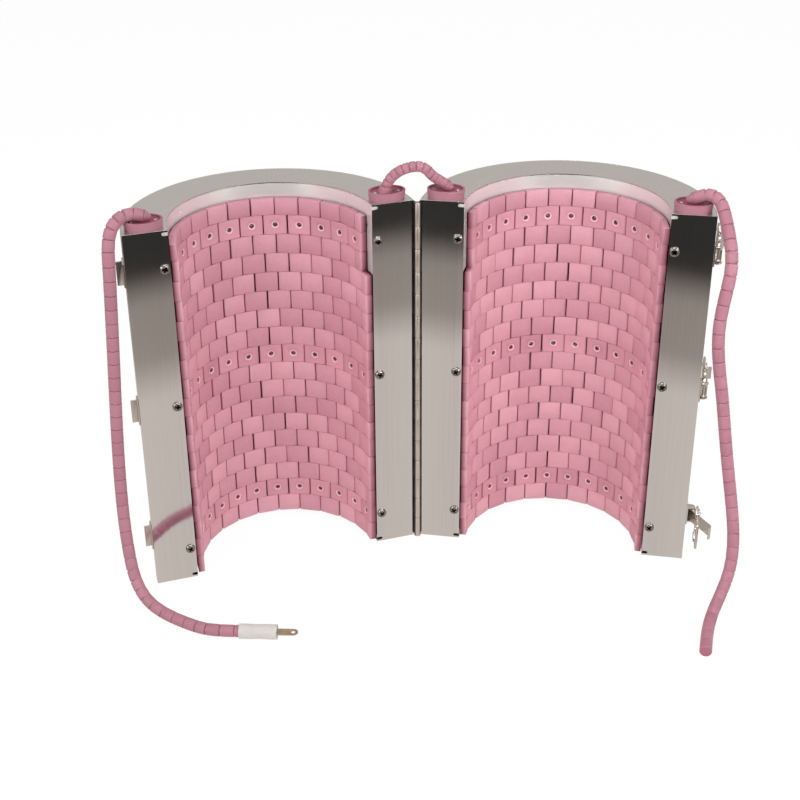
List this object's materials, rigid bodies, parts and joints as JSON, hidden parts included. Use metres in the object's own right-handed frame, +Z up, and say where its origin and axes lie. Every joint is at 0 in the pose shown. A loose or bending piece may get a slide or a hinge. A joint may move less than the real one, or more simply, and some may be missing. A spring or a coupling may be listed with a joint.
{
  "type": "ceramic pad heater",
  "caption": "Hinged two-half ceramic pad heater in polished steel housings, standing open, with pink ceramic tiles, draw latches and beaded leads.",
  "frame": {"origin": "foot of the hinge axis, on the floor that the heater stands on", "axes": "+Z up along the hinge axis, +X across the two halves towards the half with the latches, -Y out of the open bores"},
  "size_m": [0.5144, 0.2837, 0.3516],
  "materials": {
    "shell_steel": "satin",
    "plate_steel": "satin",
    "liner_steel": "satin",
    "bright_steel": "polished",
    "screw_steel": "polished",
    "resistance_wire": "satin",
    "ceramic_fibre": "matte",
    "pink_ceramic": "satin",
    "rose_ceramic": "satin",
    "white_ceramic": "matte",
    "glass_fibre": "matte",
    "terminal_brass": "satin"
  },
  "bodies": {
    "left_half": {"left_outer_shell": "shell_steel", "left_top_plate": "plate_steel", "left_bottom_plate": "plate_steel", "left_liner": "liner_steel", "left_fibre_filling": "ceramic_fibre", "left_hinge_face_plate": "bright_steel", "left_latch_face_plate": "bright_steel", "left_face_screws": "screw_steel", "left_plain_tiles": "pink_ceramic", "left_drilled_tiles": "rose_ceramic", "left_tie_pins": "white_ceramic", "left_hinge_bushing": "pink_ceramic", "left_latch_bushing": "pink_ceramic", "left_cover_screws": "screw_steel", "left_power_wires": "resistance_wire", "left_hinge_leaf": "bright_steel", "hinge_pin": "bright_steel", "lower_keeper": "bright_steel", "middle_keeper": "bright_steel", "upper_keeper": "bright_steel", "left_lead": "pink_ceramic", "left_sleeve": "glass_fibre", "left_terminal": "terminal_brass", "jumper": "pink_ceramic"},
    "right_half": {"right_outer_shell": "shell_steel", "right_top_plate": "plate_steel", "right_bottom_plate": "plate_steel", "right_liner": "liner_steel", "right_fibre_filling": "ceramic_fibre", "right_hinge_face_plate": "bright_steel", "right_latch_face_plate": "bright_steel", "right_face_screws": "screw_steel", "right_plain_tiles": "pink_ceramic", "right_drilled_tiles": "rose_ceramic", "right_tie_pins": "white_ceramic", "right_hinge_bushing": "pink_ceramic", "right_latch_bushing": "pink_ceramic", "right_cover_screws": "screw_steel", "right_power_wires": "resistance_wire", "right_hinge_leaf": "bright_steel", "lower_latch_base": "bright_steel", "middle_latch_base": "bright_steel", "upper_latch_base": "bright_steel", "latch_pins": "screw_steel", "right_lead": "pink_ceramic"},
    "lower_lever": {"lower_latch_lever": "bright_steel"},
    "lower_bail": {"lower_latch_bail": "bright_steel"},
    "middle_lever": {"middle_latch_lever": "bright_steel"},
    "middle_bail": {"middle_latch_bail": "bright_steel"},
    "upper_lever": {"upper_latch_lever": "bright_steel"},
    "upper_bail": {"upper_latch_bail": "bright_steel"}
  },
  "joints": [
    {"name": "shell_hinge", "type": "hinge", "parent": "left_half", "child": "right_half", "pos_m": [0, 0, 0], "axis": [0, 0, 1], "range_deg": [-151.4, 28.6], "deforming": ["jumper", "left_lead", "left_sleeve", "left_terminal"]},
    {"name": "lower_lever_pivot", "type": "hinge", "parent": "right_half", "child": "lower_lever", "pos_m": [0.23435, -0.05045, 0.044], "axis": [0, 0, -1], "range_deg": [-144, 0]},
    {"name": "lower_bail_pivot", "type": "hinge", "parent": "lower_lever", "child": "lower_bail", "pos_m": [0.2373, -0.05788, 0.044], "axis": [0, 0, -1], "range_deg": [-36, 64]},
    {"name": "middle_lever_pivot", "type": "hinge", "parent": "right_half", "child": "middle_lever", "pos_m": [0.23435, -0.05045, 0.165], "axis": [0, 0, -1], "range_deg": [0, 144]},
    {"name": "middle_bail_pivot", "type": "hinge", "parent": "middle_lever", "child": "middle_bail", "pos_m": [0.23632, -0.04269, 0.165], "axis": [0, 0, 1], "range_deg": [-180, 0]},
    {"name": "upper_lever_pivot", "type": "hinge", "parent": "right_half", "child": "upper_lever", "pos_m": [0.23435, -0.05045, 0.286], "axis": [0, 0, -1], "range_deg": [0, 144]},
    {"name": "upper_bail_pivot", "type": "hinge", "parent": "upper_lever", "child": "upper_bail", "pos_m": [0.23632, -0.04269, 0.286], "axis": [0, 0, 1], "range_deg": [-180, 0]}
  ]
}
